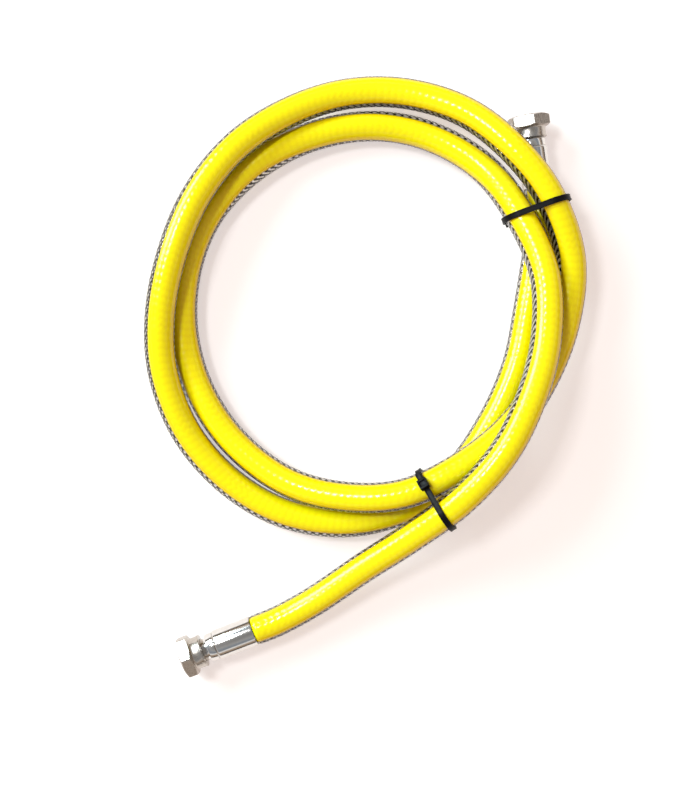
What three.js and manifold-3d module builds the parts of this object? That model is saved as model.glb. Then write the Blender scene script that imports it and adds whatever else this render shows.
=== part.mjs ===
// Flexible gas hose, coiled and held by two cable ties, lying on the floor.
// Units are millimetres and +Z is up. The origin is on the floor under the middle of the coil.
// A corrugated tube carries the gas, a wire braid holds it, and a plastic jacket covers both.
// Each end has a crimped ferrule, a turned tailpiece, a sealing washer and a swivelling union nut.

import * as THREE from 'three';
import { mergeVertices } from 'three/addons/utils/BufferGeometryUtils.js';
import Module from 'manifold-3d';

const wasm = await Module();
wasm.setup();

// Hose layers
const HOSE_DIAMETER = 19;
const JACKET_WALL = 1.6;
const BRAID_WALL = 0.5;
const TUBE_WALL = 0.4;
const LAYER_GAP = 0.3;
const HOSE_SIDES = 10;
const HOSE_STEPS = 80;
const ARC_DIVISIONS = 1600;

// Route of the hose's centreline, from the lower left end to the upper right end
const ROUTE = [
  [-69.3, -158.7, 14], [-56.2, -153.6, 14], [-34.1, -141.6, 15], [-1, -118.5, 21], [28.1, -98.4, 31.5],
  [58.2, -74.3, 44.5], [83.3, -45.2, 49], [100.4, -11, 45.5], [109.5, 23.1, 40.5], [109.5, 62.3, 35],
  [95.9, 98.9, 27.5], [73.3, 131.6, 17.5], [39.2, 152.6, 11], [4, 158.7, 9.5], [-35.1, 151.6, 9.5],
  [-70.3, 132.6, 9.5], [-97.4, 104.4, 9.5], [-111.5, 71.3, 9.5], [-114.5, 31.1, 9.5], [-104.4, -7, 9.5],
  [-82.3, -40.2, 10.5], [-50.2, -64.3, 15], [-16.1, -73.8, 22], [22.1, -72.3, 29], [57.2, -56.2, 31.5],
  [88.4, -32.1, 28.5], [109.5, -3, 24], [124, 33.1, 22], [127.1, 72.3, 25.5], [114, 109, 31.5],
  [93.4, 137.6, 31], [63.3, 163.7, 24], [26.1, 177.2, 17.5], [-13.1, 177.1, 16], [-50.2, 163.7, 20],
  [-80.3, 142.6, 24.5], [-104.4, 111.5, 27.5], [-119.5, 75.3, 27.5], [-127.1, 37.2, 25], [-125.5, 2, 20.5],
  [-111.5, -35.1, 14.5], [-85.4, -65.3, 10.5], [-51.2, -85.4, 9.5], [-12.1, -91.4, 9.5], [23.1, -83.3, 11.2],
  [56.2, -61.3, 12], [80.3, -28.1, 9.5], [96.4, 9, 9.5], [103.4, 44.2, 9.6], [109.3, 82.3, 10.4],
  [110.4, 95.3, 11.1], [110.3, 107.5, 11.6], [109.6, 114.5, 12], [108.9, 119, 12.3],
];

// Fitting at each end, measured along its axis away from the hose
const SEAT_GAP = 0.3;
const TURNED_SIDES = 28;
const FERRULE_LENGTH = 24.9;
const FERRULE_WALL = 0.6;
const FERRULE_LIP = 1.5;
const FERRULE_CHAMFER = 0.4;
const SPIGOT_LENGTH = 18;
const SPIGOT_CHAMFER = 0.5;
const NECK_LENGTH = 8.9;
const NECK_DIAMETER = 13.8;
const BORE_DIAMETER = 9.8;
const FLANGE_THICKNESS = 1.2;
const WASHER_THICKNESS = 2;
const WASHER_BORE = 11;
const HEX_ACROSS_FLATS = 24;
const HEX_LENGTH = 7.6;
const HEX_CHAMFER = 1.1;
const COLLAR_LENGTH = 6.6;
const COLLAR_DIAMETER = 17;
const COLLAR_CHAMFER = 0.5;
const MOUTH_DIAMETER = 18.6;
const MOUTH_DEPTH = 6.8;
const MOUTH_CHAMFER = 0.8;
// A nut can slide back from its flange and turn on the neck (degrees)
const NUT_SLID_BACK = { lower_left: 0, upper_right: 3 };
const NUT_TURN = { lower_left: 0, upper_right: 8 };
// How far the nut's cutter reaches past both of its faces
const CUT_PAST = 1;

// Cable ties, each round the strands of the hose that lie nearest
const STRANDS_HELD = 3;
const TIE_WIDTH = 3.6;
const TIE_THICKNESS = 1.3;
const TIE_CLEARANCE = 0.4;
const TIE_OUTLINE_STEPS = 20;
const TIE_LEVELLING_PASSES = 4;
const HEAD_LENGTH = 6.6;
const HEAD_WIDTH = 6;
const HEAD_HEIGHT = 4.4;
const HEAD_BEVEL = 0.7;
const STUB_LENGTH = 8;
const STUB_RISE = 1.6;
// Each tie's place is a share of the hose's length. Its head sits at a share of the strap's
// longest straight run that faces the given way, in degrees from above.
const TIES = [
  { name: 'cable_tie_lower', along: 0.0749, headFacing: 62, share: 0.1 },
  { name: 'cable_tie_right', along: 0.1841, headFacing: -41, share: 0.6 },
];

const UP = new THREE.Vector3(0, 0, 1);

// Finishes
const finish = (color, roughness, metalness) =>
  new THREE.MeshStandardMaterial({ color, roughness, metalness });
const jacketPlastic = () => finish(0xf5dc0a, 0.3, 0);
const braidSteel = () => finish(0xb8b8b4, 0.35, 1);
const tubeSteel = () => finish(0xc4c4c0, 0.3, 1);
const polishedSteel = () => finish(0xd0ccc4, 0.15, 1);
const nutSteel = () => finish(0xa39c93, 0.35, 1);
const washerRubber = () => finish(0x161616, 0.75, 0);
const tieNylon = () => finish(0x101012, 0.45, 0);

function named(name, geometry, material) {
  const mesh = new THREE.Mesh(geometry, material);
  mesh.name = name;
  return mesh;
}

// A closed geometry as a solid that can be joined and cut
function toSolid(geometry) {
  const bare = geometry.clone();
  bare.deleteAttribute('normal');
  bare.deleteAttribute('uv');
  const merged = mergeVertices(bare, 1e-4);
  return new wasm.Manifold(new wasm.Mesh({
    numProp: 3,
    vertProperties: new Float32Array(merged.attributes.position.array),
    triVerts: new Uint32Array(merged.index.array),
  }));
}

function toGeometry(solid) {
  const mesh = solid.getMesh();
  const geometry = new THREE.BufferGeometry();
  geometry.setAttribute('position', new THREE.BufferAttribute(mesh.vertProperties, 3));
  geometry.setIndex(new THREE.BufferAttribute(mesh.triVerts, 1));
  return geometry;
}

// A turned ring: pairs of radius and height along the axis, up the outside and down the bore
function turned(profile) {
  const points = profile.map(([radius, height]) => new THREE.Vector2(radius, height));
  points.push(points[0].clone());
  return new THREE.LatheGeometry(points, TURNED_SIDES);
}

// Hose

function routeCurve() {
  const points = ROUTE.map((point) => new THREE.Vector3(...point));
  const curve = new THREE.CatmullRomCurve3(points, false, 'centripetal');
  curve.arcLengthDivisions = ARC_DIVISIONS;
  return curve;
}

// Every layer bends at the same stations, so the walls keep one gap all the way
function hoseStations(curve) {
  const stations = [];
  for (let step = 0; step <= HOSE_STEPS; step += 1) {
    const along = step / HOSE_STEPS;
    stations.push({ point: curve.getPointAt(along), tangent: curve.getTangentAt(along) });
  }
  return stations;
}

// The same stations with a straight stretch added past each end
function extended(stations, overhang) {
  if (overhang === 0) {
    return stations;
  }
  const shifted = ({ point, tangent }, distance) =>
    ({ point: point.clone().addScaledVector(tangent, distance), tangent });
  const first = shifted(stations[0], -overhang);
  const last = shifted(stations[stations.length - 1], overhang);
  return [first, ...stations, last];
}

class StationPath extends THREE.Curve {
  constructor(stations) {
    super();
    this.stations = stations;
  }

  getSpacedPoints() {
    return this.stations.map(({ point }) => point.clone());
  }

  getTangentAt(along, target = new THREE.Vector3()) {
    const index = Math.round(along * (this.stations.length - 1));
    return target.copy(this.stations[index].tangent);
  }
}

function polygon(path, radius, sides) {
  for (let side = 0; side < sides; side += 1) {
    const angle = (2 * Math.PI * side) / sides;
    const x = radius * Math.cos(angle);
    const y = radius * Math.sin(angle);
    if (side === 0) {
      path.moveTo(x, y);
    } else {
      path.lineTo(x, y);
    }
  }
  path.closePath();
  return path;
}

function hoseLayer(stations, outerRadius, wall, overhang) {
  const section = polygon(new THREE.Shape(), outerRadius, HOSE_SIDES);
  section.holes.push(polygon(new THREE.Path(), outerRadius - wall, HOSE_SIDES));
  const layerStations = extended(stations, overhang);
  return new THREE.ExtrudeGeometry(section, {
    steps: layerStations.length - 1,
    extrudePath: new StationPath(layerStations),
  });
}

const jacketRadius = HOSE_DIAMETER / 2;
const braidRadius = jacketRadius - JACKET_WALL - LAYER_GAP;
const tubeRadius = braidRadius - BRAID_WALL - LAYER_GAP;
const crimpedLength = FERRULE_LENGTH - FERRULE_LIP - SEAT_GAP;

function hose(stations) {
  const group = new THREE.Group();
  const jacket = hoseLayer(stations, jacketRadius, JACKET_WALL, 0);
  const braid = hoseLayer(stations, braidRadius, BRAID_WALL, crimpedLength);
  const tube = hoseLayer(stations, tubeRadius, TUBE_WALL, crimpedLength);
  group.add(named('hose_jacket', jacket, jacketPlastic()));
  group.add(named('wire_braid', braid, braidSteel()));
  group.add(named('corrugated_tube', tube, tubeSteel()));
  return group;
}

// Fittings, with their axis along +Y and the jacket's end face at zero

const neckRadius = NECK_DIAMETER / 2;
const boreRadius = BORE_DIAMETER / 2;
const mouthRadius = MOUTH_DIAMETER / 2;
const collarRadius = COLLAR_DIAMETER / 2;
const ferruleStart = SEAT_GAP;
const ferruleEnd = ferruleStart + FERRULE_LENGTH;
const nutStart = ferruleEnd + NECK_LENGTH;
const nutLength = COLLAR_LENGTH + HEX_LENGTH;
const nutStep = nutLength - MOUTH_DEPTH;
const flangeStart = nutStart + nutStep + SEAT_GAP;
const washerStart = flangeStart + FLANGE_THICKNESS + SEAT_GAP;

// The ferrule grips the braid and closes on the neck with an inward lip
function ferrule() {
  const inner = braidRadius + SEAT_GAP;
  const outer = inner + FERRULE_WALL;
  const lipStart = FERRULE_LENGTH - FERRULE_LIP;
  const lipRadius = neckRadius + SEAT_GAP;
  return turned([
    [inner, 0],
    [outer - FERRULE_CHAMFER, 0],
    [outer, FERRULE_CHAMFER],
    [outer, FERRULE_LENGTH - FERRULE_CHAMFER],
    [outer - FERRULE_CHAMFER, FERRULE_LENGTH],
    [lipRadius, FERRULE_LENGTH],
    [lipRadius, lipStart],
    [inner, lipStart],
  ]);
}

// One turned piece: a spigot inside the tube, the neck, and the flange that holds the nut
function tailpiece() {
  const spigotRadius = (tubeRadius - TUBE_WALL) * Math.cos(Math.PI / HOSE_SIDES) - SEAT_GAP;
  const shoulder = crimpedLength + SEAT_GAP;
  const flangeRadius = mouthRadius - SEAT_GAP;
  const flangeEnd = flangeStart + FLANGE_THICKNESS;
  const spigotEnd = shoulder - SPIGOT_LENGTH;
  return turned([
    [boreRadius, spigotEnd],
    [spigotRadius - SPIGOT_CHAMFER, spigotEnd],
    [spigotRadius, spigotEnd + SPIGOT_CHAMFER],
    [spigotRadius, shoulder],
    [neckRadius, shoulder],
    [neckRadius, flangeStart],
    [flangeRadius, flangeStart],
    [flangeRadius, flangeEnd],
    [boreRadius, flangeEnd],
  ]);
}

function washer() {
  const outer = mouthRadius - SEAT_GAP;
  const inner = WASHER_BORE / 2;
  return turned([[inner, 0], [outer, 0], [outer, WASHER_THICKNESS], [inner, WASHER_THICKNESS]]);
}

// A chamfered hexagon with a round collar behind it, bored for the neck and for the thread
function unionNut() {
  const corner = HEX_ACROSS_FLATS / 2 / Math.cos(Math.PI / 6);
  const flat = HEX_ACROSS_FLATS / 2;
  const boreClear = neckRadius + SEAT_GAP;
  const hexagon = new THREE.CylinderGeometry(corner, corner, HEX_LENGTH, 6);
  hexagon.translate(0, COLLAR_LENGTH + HEX_LENGTH / 2, 0);
  const envelope = new THREE.LatheGeometry([
    new THREE.Vector2(0, COLLAR_LENGTH),
    new THREE.Vector2(flat, COLLAR_LENGTH),
    new THREE.Vector2(corner, COLLAR_LENGTH + HEX_CHAMFER),
    new THREE.Vector2(corner, nutLength - HEX_CHAMFER),
    new THREE.Vector2(flat, nutLength),
    new THREE.Vector2(0, nutLength),
  ], TURNED_SIDES);
  const collar = new THREE.LatheGeometry([
    new THREE.Vector2(0, 0),
    new THREE.Vector2(collarRadius - COLLAR_CHAMFER, 0),
    new THREE.Vector2(collarRadius, COLLAR_CHAMFER),
    new THREE.Vector2(collarRadius, COLLAR_LENGTH + HEX_LENGTH / 2),
    new THREE.Vector2(0, COLLAR_LENGTH + HEX_LENGTH / 2),
  ], TURNED_SIDES);
  const bore = new THREE.LatheGeometry([
    new THREE.Vector2(0, -CUT_PAST),
    new THREE.Vector2(boreClear, -CUT_PAST),
    new THREE.Vector2(boreClear, nutStep),
    new THREE.Vector2(mouthRadius, nutStep),
    new THREE.Vector2(mouthRadius, nutLength - MOUTH_CHAMFER),
    new THREE.Vector2(mouthRadius + MOUTH_CHAMFER, nutLength),
    new THREE.Vector2(mouthRadius + MOUTH_CHAMFER, nutLength + CUT_PAST),
    new THREE.Vector2(0, nutLength + CUT_PAST),
  ], TURNED_SIDES);
  const body = toSolid(hexagon).intersect(toSolid(envelope)).add(toSolid(collar));
  return toGeometry(body.subtract(toSolid(bore)));
}

// A frame at the hose's end, with +Y pointing away from the hose and +Z as near up as it goes
function endFrame(point, outward) {
  const side = new THREE.Vector3().crossVectors(outward, UP).normalize();
  const above = new THREE.Vector3().crossVectors(side, outward);
  return new THREE.Matrix4().makeBasis(side, outward, above).setPosition(point);
}

function fitting(end, point, outward) {
  const group = new THREE.Group();
  const sleeve = named(`ferrule_${end}`, ferrule(), polishedSteel());
  sleeve.position.y = ferruleStart;
  const tail = named(`tailpiece_${end}`, tailpiece(), polishedSteel());
  const seal = named(`sealing_washer_${end}`, washer(), washerRubber());
  seal.position.y = washerStart;
  const nut = named(`union_nut_${end}`, unionNut(), nutSteel());
  nut.position.y = nutStart - NUT_SLID_BACK[end];
  nut.rotation.y = THREE.MathUtils.degToRad(NUT_TURN[end]);
  group.add(sleeve, tail, seal, nut);
  group.applyMatrix4(endFrame(point, outward));
  return group;
}

// Cable ties

// Where the straight runs between stations pass through a plane, nearest a given point
function strandsThrough(stations, centre, normal) {
  const strands = [];
  for (let index = 1; index < stations.length; index += 1) {
    const from = stations[index - 1].point;
    const to = stations[index].point;
    const before = from.clone().sub(centre).dot(normal);
    const after = to.clone().sub(centre).dot(normal);
    if (before * after > 0 || before === after) {
      continue;
    }
    const point = from.clone().lerp(to, before / (before - after));
    const direction = to.clone().sub(from).normalize();
    strands.push({ point, direction: direction.dot(normal) < 0 ? direction.negate() : direction });
  }
  strands.sort((a, b) => a.point.distanceTo(centre) - b.point.distanceTo(centre));
  return strands.slice(0, STRANDS_HELD);
}

function tieFrame(stations, curve, along) {
  const centre = curve.getPointAt(along);
  let normal = curve.getTangentAt(along);
  let strands = [];
  for (let pass = 0; pass < TIE_LEVELLING_PASSES; pass += 1) {
    strands = strandsThrough(stations, centre, normal);
    const sum = new THREE.Vector3();
    strands.forEach(({ direction }) => sum.add(direction));
    normal = sum.normalize();
  }
  strands = strandsThrough(stations, centre, normal);
  const across = new THREE.Vector3().crossVectors(UP, normal).normalize();
  const above = new THREE.Vector3().crossVectors(normal, across);
  const matrix = new THREE.Matrix4().makeBasis(across, above, normal).setPosition(centre);
  return { matrix, strands };
}

// Where a strand's skin meets both edges of the strap, seen along the tie's axis
function strandOutline({ point, direction }, inverse) {
  const side = new THREE.Vector3().crossVectors(direction, UP).normalize();
  const above = new THREE.Vector3().crossVectors(side, direction);
  const slide = direction.clone().transformDirection(inverse);
  const outline = [];
  for (let step = 0; step < TIE_OUTLINE_STEPS; step += 1) {
    const angle = (2 * Math.PI * step) / TIE_OUTLINE_STEPS;
    const skin = point.clone()
      .addScaledVector(side, jacketRadius * Math.cos(angle))
      .addScaledVector(above, jacketRadius * Math.sin(angle))
      .applyMatrix4(inverse);
    [-TIE_WIDTH / 2, TIE_WIDTH / 2].forEach((level) => {
      const met = skin.clone().addScaledVector(slide, (level - skin.z) / slide.z);
      outline.push(new THREE.Vector2(met.x, met.y));
    });
  }
  return outline;
}

// The smallest convex loop round some points, counter-clockwise
function hullOf(points) {
  const sorted = [...points].sort((a, b) => a.x - b.x || a.y - b.y);
  const halfHull = (ordered) => {
    const half = [];
    ordered.forEach((point) => {
      while (half.length > 1) {
        const last = half[half.length - 1];
        const run = last.clone().sub(half[half.length - 2]);
        if (run.cross(point.clone().sub(last)) > 0) {
          break;
        }
        half.pop();
      }
      half.push(point);
    });
    return half.slice(0, -1);
  };
  return [...halfHull(sorted), ...halfHull(sorted.reverse())];
}

// A convex loop moved outward by one distance on every side
function grown(loop, distance) {
  const outward = loop.map((point, index) => {
    const run = loop[(index + 1) % loop.length].clone().sub(point).normalize();
    return new THREE.Vector2(run.y, -run.x);
  });
  return loop.map((point, index) => {
    const before = outward[(index + loop.length - 1) % loop.length];
    const after = outward[index];
    const corner = before.clone().add(after).divideScalar(1 + before.dot(after));
    return point.clone().addScaledVector(corner, distance);
  });
}

function bevelledBox(length, height, width, bevel) {
  const outline = new THREE.Shape();
  outline.moveTo(-length / 2 + bevel, bevel);
  outline.lineTo(length / 2 - bevel, bevel);
  outline.lineTo(length / 2 - bevel, height - bevel);
  outline.lineTo(-length / 2 + bevel, height - bevel);
  outline.closePath();
  const box = new THREE.ExtrudeGeometry(outline, {
    depth: width - 2 * bevel,
    bevelThickness: bevel,
    bevelSize: bevel,
    bevelSegments: 1,
  });
  box.translate(0, 0, bevel - width / 2);
  return box;
}

// The cut end of the strap, leaving the far side of the head and lifting away
function stub() {
  const outline = new THREE.Shape();
  outline.moveTo(0, 0);
  outline.lineTo(STUB_LENGTH, STUB_RISE);
  outline.lineTo(STUB_LENGTH - TIE_THICKNESS / 4, STUB_RISE + TIE_THICKNESS);
  outline.lineTo(0, TIE_THICKNESS);
  outline.closePath();
  const geometry = new THREE.ExtrudeGeometry(outline, { depth: TIE_WIDTH, bevelEnabled: false });
  geometry.translate(0, 0, -TIE_WIDTH / 2);
  return geometry;
}

// The longest straight run of a loop that faces a given way
function straightRun(loop, facing) {
  let chosen = { score: 0 };
  loop.forEach((from, index) => {
    const run = loop[(index + 1) % loop.length].clone().sub(from);
    const score = run.y * Math.cos(facing) - run.x * Math.sin(facing);
    if (score > chosen.score) {
      chosen = { score, from, run };
    }
  });
  return chosen;
}

function cableTie({ name, along, headFacing, share }, stations, curve) {
  const { matrix, strands } = tieFrame(stations, curve, along);
  const inverse = matrix.clone().invert();
  const hull = hullOf(strands.flatMap((strand) => strandOutline(strand, inverse)));
  const band = new THREE.Shape(grown(hull, TIE_CLEARANCE + TIE_THICKNESS));
  const inside = grown(hull, TIE_CLEARANCE);
  band.holes.push(new THREE.Path(inside));
  const strap = new THREE.ExtrudeGeometry(band, { depth: TIE_WIDTH, bevelEnabled: false });
  strap.translate(0, 0, -TIE_WIDTH / 2);
  const { from, run } = straightRun(inside, THREE.MathUtils.degToRad(headFacing));
  const outward = new THREE.Vector2(run.y, -run.x).normalize();
  const seat = from.clone().addScaledVector(run, share);
  seat.addScaledVector(outward, TIE_THICKNESS / 2);
  const seating = new THREE.Matrix4().makeRotationZ(run.angle() + Math.PI);
  seating.setPosition(seat.x, seat.y, 0);
  const head = bevelledBox(HEAD_LENGTH, HEAD_HEIGHT, HEAD_WIDTH, HEAD_BEVEL).applyMatrix4(seating);
  const tail = stub().translate(0, TIE_THICKNESS, 0).applyMatrix4(seating);
  const solid = toSolid(strap).add(toSolid(head)).add(toSolid(tail));
  const tie = named(name, toGeometry(solid), tieNylon());
  tie.applyMatrix4(matrix);
  return tie;
}

// The whole hose

const curve = routeCurve();
const stations = hoseStations(curve);
const first = stations[0];
const last = stations[stations.length - 1];

const gasHose = new THREE.Group();
gasHose.add(hose(stations));
gasHose.add(fitting('lower_left', first.point, first.tangent.clone().negate()));
gasHose.add(fitting('upper_right', last.point, last.tangent));
TIES.forEach((tie) => gasHose.add(cableTie(tie, stations, curve)));

export default gasHose;
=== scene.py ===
import math

import bmesh
import bpy
from mathutils import Matrix, Vector


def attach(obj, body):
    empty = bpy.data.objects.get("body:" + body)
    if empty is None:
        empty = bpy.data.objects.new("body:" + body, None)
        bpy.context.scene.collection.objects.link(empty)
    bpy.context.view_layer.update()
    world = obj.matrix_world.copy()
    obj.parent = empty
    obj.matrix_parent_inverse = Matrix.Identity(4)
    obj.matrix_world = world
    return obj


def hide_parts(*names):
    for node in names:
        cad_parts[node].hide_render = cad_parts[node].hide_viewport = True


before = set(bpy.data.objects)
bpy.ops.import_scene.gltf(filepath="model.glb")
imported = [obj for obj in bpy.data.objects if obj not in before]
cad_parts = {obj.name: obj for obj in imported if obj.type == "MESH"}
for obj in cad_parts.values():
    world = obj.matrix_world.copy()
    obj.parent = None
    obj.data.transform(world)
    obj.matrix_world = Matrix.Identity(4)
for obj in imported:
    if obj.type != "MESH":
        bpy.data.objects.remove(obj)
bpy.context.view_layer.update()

TURN = 2 * math.pi
UP = Vector((0, 0, 1))
MILLIMETRE = 0.001

# The hose's layers in metres. Its clear plastic fills the braid, so it reaches further in.
HOSE_RADIUS = 0.0095
JACKET_BORE_RADIUS = 0.0079
CLEAR_FILLS_TO = 0.0063
BRAID_RADIUS = 0.00735
TUBE_RADIUS = 0.0066

# How far the braid and the tube run on into each ferrule
OVERHANG = 0.0231

# Route of the hose's centreline, from the lower left end to the upper right end
ROUTE = [
    (-0.0693, -0.1587, 0.014), (-0.0562, -0.1536, 0.014), (-0.0341, -0.1416, 0.015),
    (-0.001, -0.1185, 0.021), (0.0281, -0.0984, 0.0315), (0.0582, -0.0743, 0.0445),
    (0.0833, -0.0452, 0.049), (0.1004, -0.011, 0.0455), (0.1095, 0.0231, 0.0405),
    (0.1095, 0.0623, 0.035), (0.0959, 0.0989, 0.0275), (0.0733, 0.1316, 0.0175),
    (0.0392, 0.1526, 0.011), (0.004, 0.1587, 0.0095), (-0.0351, 0.1516, 0.0095),
    (-0.0703, 0.1326, 0.0095), (-0.0974, 0.1044, 0.0095), (-0.1115, 0.0713, 0.0095),
    (-0.1145, 0.0311, 0.0095), (-0.1044, -0.007, 0.0095), (-0.0823, -0.0402, 0.0105),
    (-0.0502, -0.0643, 0.015), (-0.0161, -0.0738, 0.022), (0.0221, -0.0723, 0.029),
    (0.0572, -0.0562, 0.0315), (0.0884, -0.0321, 0.0285), (0.1095, -0.003, 0.024),
    (0.124, 0.0331, 0.022), (0.1271, 0.0723, 0.0255), (0.114, 0.109, 0.0315),
    (0.0934, 0.1376, 0.031), (0.0633, 0.1637, 0.024), (0.0261, 0.1772, 0.0175),
    (-0.0131, 0.1771, 0.016), (-0.0502, 0.1637, 0.02), (-0.0803, 0.1426, 0.0245),
    (-0.1044, 0.1115, 0.0275), (-0.1195, 0.0753, 0.0275), (-0.1271, 0.0372, 0.025),
    (-0.1255, 0.002, 0.0205), (-0.1115, -0.0351, 0.0145), (-0.0854, -0.0653, 0.0105),
    (-0.0512, -0.0854, 0.0095), (-0.0121, -0.0914, 0.0095), (0.0231, -0.0833, 0.0112),
    (0.0562, -0.0613, 0.012), (0.0803, -0.0281, 0.0095), (0.0964, 0.009, 0.0095),
    (0.1034, 0.0442, 0.0096), (0.1093, 0.0823, 0.0104), (0.1104, 0.0953, 0.0111),
    (0.1103, 0.1075, 0.0116), (0.1096, 0.1145, 0.012), (0.1089, 0.119, 0.0123),
]

# Degrees that the yellow band is turned about the hose, by metres along it
BAND_TURN = [
    (0.0, -10), (0.1, -5), (0.2, 2), (0.3, 5), (0.36, -3), (0.4, -20), (0.44, -21), (0.5, -10),
    (0.55, 8), (0.6, -8), (0.66, -5), (0.74, -3), (0.8, -1), (0.86, -5), (0.92, -12), (1.0, 0),
    (1.06, 8), (1.1, 6), (1.16, -2), (1.2, -4), (1.26, -3), (1.32, -11), (1.4, -19), (1.5, -17),
    (1.56, -16), (1.62, -15), (1.7, -6), (1.78, -3), (1.909, 0),
]

# The band reaches so many degrees to each side, and clear plastic follows on both sides
YELLOW_HALF = 58
CLEAR_WIDTH = 80
CLEAR_END = YELLOW_HALF + CLEAR_WIDTH
SEAM = 0.1


# Camera

camera_data = bpy.data.cameras.new("camera")
camera = bpy.data.objects.new("camera", camera_data)
bpy.context.collection.objects.link(camera)
camera.location = (-0.01707, -0.01506, 0.80336)
camera_data.sensor_width = 36
camera_data.lens = 56.39
camera_data.clip_start = 0.01
camera_data.clip_end = 20
bpy.context.scene.camera = camera


# Line of the hose

CURVE_TICKS = 40
LINE_STEP = 0.0015


def curve_through(route):
    """Close points of a centripetal curve through the route, and its directions at both ends."""
    route = [Vector(point) for point in route]
    padded = [2 * route[0] - route[1]] + route + [2 * route[-1] - route[-2]]
    fine, ways = [], []
    for before, start, end, after in zip(padded, padded[1:], padded[2:], padded[3:]):
        lead = math.sqrt((start - before).length)
        span = math.sqrt((end - start).length)
        trail = math.sqrt((after - end).length)
        leaving = (start - before) / lead - (end - before) / (lead + span) + (end - start) / span
        arriving = (end - start) / span - (after - start) / (span + trail) + (after - end) / trail
        leaving, arriving = leaving * span, arriving * span
        ways += [leaving, arriving]
        for tick in range(CURVE_TICKS):
            t = tick / CURVE_TICKS
            fine.append(
                (2 * t**3 - 3 * t**2 + 1) * start
                + (t**3 - 2 * t**2 + t) * leaving
                + (3 * t**2 - 2 * t**3) * end
                + (t**3 - t**2) * arriving
            )
    fine.append(route[-1])
    return fine, (ways[0].normalized(), ways[-1].normalized())


def spaced(fine, step):
    """Points at one spacing along a line, about a step apart, and the line's length."""
    reached = [0.0]
    for a, b in zip(fine, fine[1:]):
        reached.append(reached[-1] + (b - a).length)
    total = reached[-1]
    count = round(total / step)
    points, index = [], 0
    for station in range(count + 1):
        target = total * station / count
        while index < len(fine) - 2 and reached[index + 1] < target:
            index += 1
        share = (target - reached[index]) / (reached[index + 1] - reached[index])
        points.append(fine[index].lerp(fine[index + 1], min(1.0, share)))
    return points, total


def directions(points, end_ways):
    """The line's direction at each of its points. The ends have the joints' own axes."""
    inner = [(after - before).normalized() for before, after in zip(points, points[2:])]
    return [end_ways[0], *inner, end_ways[1]]


def eased(table, along):
    """A value from a table of places and values, smooth between them."""
    if along <= table[0][0]:
        return table[0][1]
    for (start, low), (end, high) in zip(table, table[1:]):
        if along <= end:
            share = (along - start) / (end - start)
            return low + (high - low) * (1 - math.cos(math.pi * share)) / 2
    return table[-1][1]


fine_line, end_ways = curve_through(ROUTE)
line, hose_length = spaced(fine_line, LINE_STEP)
headings = directions(line, end_ways)


def band_centre(along):
    """The angle of the yellow band's middle, at metres along the hose."""
    return math.radians(eased(BAND_TURN, along))


def on_hose(station, angle, radius):
    """A point round the hose at a station, with the angle counted from straight up."""
    heading = headings[station]
    side = heading.cross(UP).normalized()
    above = side.cross(heading)
    return line[station] + radius * (math.cos(angle) * above + math.sin(angle) * side)


# Meshes

def place(name, mesh, material, body, smooth=True):
    """Makes a mesh a visible piece that rides on a body."""
    piece = bpy.data.objects.new(name, mesh)
    bpy.context.collection.objects.link(piece)
    mesh.materials.clear()
    mesh.materials.append(material)
    if smooth:
        mesh.shade_smooth()
    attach(piece, body)
    return piece


def mesh_from(name, points, faces):
    """A plain mesh from its points and faces."""
    mesh = bpy.data.meshes.new(name)
    mesh.from_pydata([tuple(point) for point in points], [], faces)
    mesh.validate()
    mesh.update()
    return mesh


def outward(mesh):
    """Turns every face of a closed mesh outwards."""
    work = bmesh.new()
    work.from_mesh(mesh)
    bmesh.ops.recalc_face_normals(work, faces=work.faces)
    work.to_mesh(mesh)
    work.free()
    return mesh


def finished(piece_name, mesh, modifiers):
    """The mesh with modifiers applied to it."""
    holder = bpy.data.objects.new(piece_name + "_work", mesh)
    bpy.context.collection.objects.link(holder)
    for kind, settings in modifiers:
        modifier = holder.modifiers.new(kind.lower(), kind)
        for key, value in settings.items():
            setattr(modifier, key, value)
    graph = bpy.context.evaluated_depsgraph_get()
    result = bpy.data.meshes.new_from_object(holder.evaluated_get(graph))
    bpy.data.objects.remove(holder)
    return result


TAPER_DEPTH = 0.0008
TAPER_LENGTH = 0.0016


def end_taper(station):
    """How far the jacket draws in where it enters a ferrule."""
    from_end = hose_length * min(station, len(line) - 1 - station) / (len(line) - 1)
    return TAPER_DEPTH * max(0.0, 1 - from_end / TAPER_LENGTH)


def sector_mesh(name, sectors, outer_steps, inner_steps, inner_radius):
    """Closed strips of the jacket, each between two angles in degrees from the band's middle."""
    points, faces, wraps = [], [], []
    stations = len(line)
    for low, high in sectors:
        base = len(points)
        outer = [low + (high - low) * n / outer_steps for n in range(outer_steps + 1)]
        inner = [high + (low - high) * n / inner_steps for n in range(inner_steps + 1)]
        ring = [(degrees, HOSE_RADIUS) for degrees in outer]
        ring += [(degrees, inner_radius) for degrees in inner]
        for station in range(stations):
            centre = band_centre(hose_length * station / (stations - 1))
            for degrees, radius in ring:
                drawn_in = min(radius, HOSE_RADIUS - end_taper(station))
                points.append(on_hose(station, centre + math.radians(degrees), drawn_in))
                wraps.append((station / (stations - 1), degrees / 360 + 0.5))
        count = len(ring)
        for station in range(stations - 1):
            for n in range(count):
                a = base + station * count + n
                b = base + station * count + (n + 1) % count
                faces.append((a, b, b + count, a + count))
        faces.append([base + n for n in reversed(range(count))])
        faces.append([base + (stations - 1) * count + n for n in range(count)])
    mesh = mesh_from(name, points, faces)
    layer = mesh.uv_layers.new(name="hose_run")
    for loop in mesh.loops:
        layer.data[loop.index].uv = wraps[loop.vertex_index]
    return outward(mesh)


# Node trees

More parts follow.
